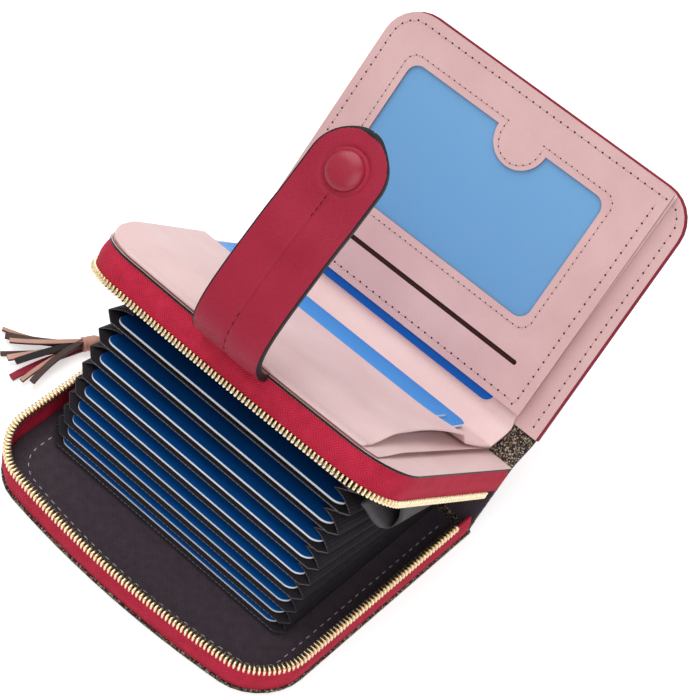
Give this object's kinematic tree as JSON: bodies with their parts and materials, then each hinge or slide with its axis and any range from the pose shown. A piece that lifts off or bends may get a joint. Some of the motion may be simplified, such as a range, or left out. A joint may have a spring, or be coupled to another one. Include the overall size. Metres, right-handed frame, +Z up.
{
  "type": "zip card wallet",
  "caption": "Bifold wallet lying open: zip-around accordion card compartment, middle leaf with bill pocket, flap with window, snap strap and tassel pull",
  "frame": {"origin": "on the rest face under the lower leaf, midway between the spine and the front corners and midway along the wallet", "axes": "+X runs along the wallet, +Y points from the front edge to the spine, +Z up from the surface it lies on"},
  "size_m": [0.1432, 0.1721, 0.1348],
  "materials": {
    "speckled_fabric": "woven black fabric with pale and gold flecks",
    "crimson_leather": "fine-grained crimson artificial leather with black painted edges",
    "crimson_tape": "crimson woven zip tape",
    "gold_metal": "bright gold plating",
    "pink_leather": "smooth dusty pink artificial leather, stitched",
    "twill_lining": "charcoal twill lining with white stitches",
    "window_film": "clear flexible film",
    "sky_card": "plain sky blue card",
    "bright_card": "plain bright blue card",
    "royal_card": "plain royal blue card with white core",
    "rose_gold_leather": "metallic rose gold, brown and black leather strips"
  },
  "bodies": {
    "lower_leaf": {"back_cover": "speckled_fabric", "back_lining": "twill_lining", "lower_zip_tape": "crimson_tape", "lower_zip_teeth": "gold_metal", "left_pleats": "twill_lining", "right_pleats": "twill_lining", "left_end_gusset": "twill_lining", "right_end_gusset": "twill_lining"},
    "middle_leaf": {"spine_cover": "speckled_fabric", "spine_lining": "twill_lining", "leaf_board": "twill_lining", "leaf_lining": "pink_leather", "upper_zip_tape": "crimson_tape", "upper_zip_teeth": "gold_metal", "bill_panel": "pink_leather", "leaf_pocket": "pink_leather", "slot_card_1": "bright_card", "slot_card_2": "bright_card", "cover_fold": "speckled_fabric", "lining_fold": "pink_leather"},
    "flap": {"front_cover": "crimson_leather", "flap_lining": "pink_leather", "flap_bill_panel": "pink_leather", "id_panel": "pink_leather", "id_window": "window_film", "id_card": "sky_card", "slot_card_3": "royal_card", "snap_stud": "gold_metal"},
    "closing_strap": {"strap": "crimson_leather", "snap_cap": "crimson_leather", "snap_socket": "gold_metal"},
    "slider": {"zip_slider": "gold_metal"},
    "pull": {"pull_tab": "gold_metal"},
    "tassel": {"tassel_ring": "gold_metal", "tassel_cap": "rose_gold_leather", "tassel_strands": "rose_gold_leather"},
    "leaf_0": {"divider_0": "twill_lining", "pocket_card_9": "royal_card"},
    "leaf_1": {"divider_1": "twill_lining", "pocket_card_8": "royal_card"},
    "leaf_2": {"divider_2": "twill_lining", "pocket_card_7": "royal_card"},
    "leaf_3": {"divider_3": "twill_lining", "pocket_card_6": "royal_card"},
    "leaf_4": {"divider_4": "twill_lining", "pocket_card_5": "royal_card"},
    "leaf_5": {"divider_5": "twill_lining", "pocket_card_4": "royal_card"},
    "leaf_6": {"divider_6": "twill_lining", "pocket_card_3": "royal_card"},
    "leaf_7": {"divider_7": "twill_lining", "pocket_card_2": "royal_card"},
    "leaf_8": {"divider_8": "twill_lining", "pocket_card_1": "royal_card"},
    "leaf_9": {"divider_9": "twill_lining"}
  },
  "joints": [
    {"name": "compartment", "type": "hinge", "parent": "lower_leaf", "child": "middle_leaf", "pos_m": [0, 0.04525, 0.002], "axis": [-1, 0, 0], "range_deg": [-39, 16], "deforming": ["left_pleats", "right_pleats", "left_end_gusset", "right_end_gusset"]},
    {"name": "front_flap", "type": "hinge", "parent": "middle_leaf", "child": "flap", "pos_m": [0, 0.06227, 0.02302], "axis": [-1, 0, 0], "range_deg": [-90.5, 34], "deforming": ["cover_fold", "lining_fold"]},
    {"name": "strap_fold", "type": "hinge", "parent": "middle_leaf", "child": "closing_strap", "pos_m": [0.0008, -0.01439, 0.07835], "axis": [1, 0, 0], "range_deg": [-82, 80]},
    {"name": "slider_travel", "type": "slide", "parent": "lower_leaf", "child": "slider", "axis": [0, -1, 0], "range_m": [0, 0.045]},
    {"name": "pull_tab_swing", "type": "hinge", "parent": "slider", "child": "pull", "pos_m": [-0.0596, 0.02825, 0.0105], "axis": [0, 0, 1], "range_deg": [-120, 5]},
    {"name": "tassel_swing", "type": "hinge", "parent": "pull", "child": "tassel", "pos_m": [-0.06252, 0.01558, 0.0029], "axis": [0, 0, 1], "range_deg": [-50, 5]},
    {"name": "fan_0", "type": "hinge", "parent": "middle_leaf", "child": "leaf_0", "pos_m": [0, 0.04403, 0.00383], "axis": [-1, 0, 0], "range_deg": [-16, 39]},
    {"name": "fan_1", "type": "hinge", "parent": "middle_leaf", "child": "leaf_1", "pos_m": [0, 0.04535, 0.00546], "axis": [-1, 0, 0], "range_deg": [-15.5, 37.8]},
    {"name": "fan_2", "type": "hinge", "parent": "middle_leaf", "child": "leaf_2", "pos_m": [0, 0.04667, 0.00709], "axis": [-1, 0, 0], "range_deg": [-14.7, 35.6]},
    {"name": "fan_3", "type": "hinge", "parent": "middle_leaf", "child": "leaf_3", "pos_m": [0, 0.04799, 0.00872], "axis": [-1, 0, 0], "range_deg": [-13.6, 33]},
    {"name": "fan_4", "type": "hinge", "parent": "middle_leaf", "child": "leaf_4", "pos_m": [0, 0.04931, 0.01035], "axis": [-1, 0, 0], "range_deg": [-12.4, 30.1]},
    {"name": "fan_5", "type": "hinge", "parent": "middle_leaf", "child": "leaf_5", "pos_m": [0, 0.05063, 0.01199], "axis": [-1, 0, 0], "range_deg": [-11, 26.8]},
    {"name": "fan_6", "type": "hinge", "parent": "middle_leaf", "child": "leaf_6", "pos_m": [0, 0.05196, 0.01362], "axis": [-1, 0, 0], "range_deg": [-9.5, 23.2]},
    {"name": "fan_7", "type": "hinge", "parent": "middle_leaf", "child": "leaf_7", "pos_m": [0, 0.05328, 0.01525], "axis": [-1, 0, 0], "range_deg": [-8, 19.4]},
    {"name": "fan_8", "type": "hinge", "parent": "middle_leaf", "child": "leaf_8", "pos_m": [0, 0.0546, 0.01688], "axis": [-1, 0, 0], "range_deg": [-6.3, 15.3]},
    {"name": "fan_9", "type": "hinge", "parent": "middle_leaf", "child": "leaf_9", "pos_m": [0, 0.05592, 0.01852], "axis": [-1, 0, 0], "range_deg": [-4.6, 11]}
  ],
  "couplings": [
    {"joint": "fan_0", "follows": "compartment", "ratio": -1},
    {"joint": "fan_1", "follows": "compartment", "ratio": -0.96688},
    {"joint": "fan_2", "follows": "compartment", "ratio": -0.91258},
    {"joint": "fan_3", "follows": "compartment", "ratio": -0.84579},
    {"joint": "fan_4", "follows": "compartment", "ratio": -0.76931},
    {"joint": "fan_5", "follows": "compartment", "ratio": -0.68471},
    {"joint": "fan_6", "follows": "compartment", "ratio": -0.59303},
    {"joint": "fan_7", "follows": "compartment", "ratio": -0.495},
    {"joint": "fan_8", "follows": "compartment", "ratio": -0.39119},
    {"joint": "fan_9", "follows": "compartment", "ratio": -0.28205}
  ]
}
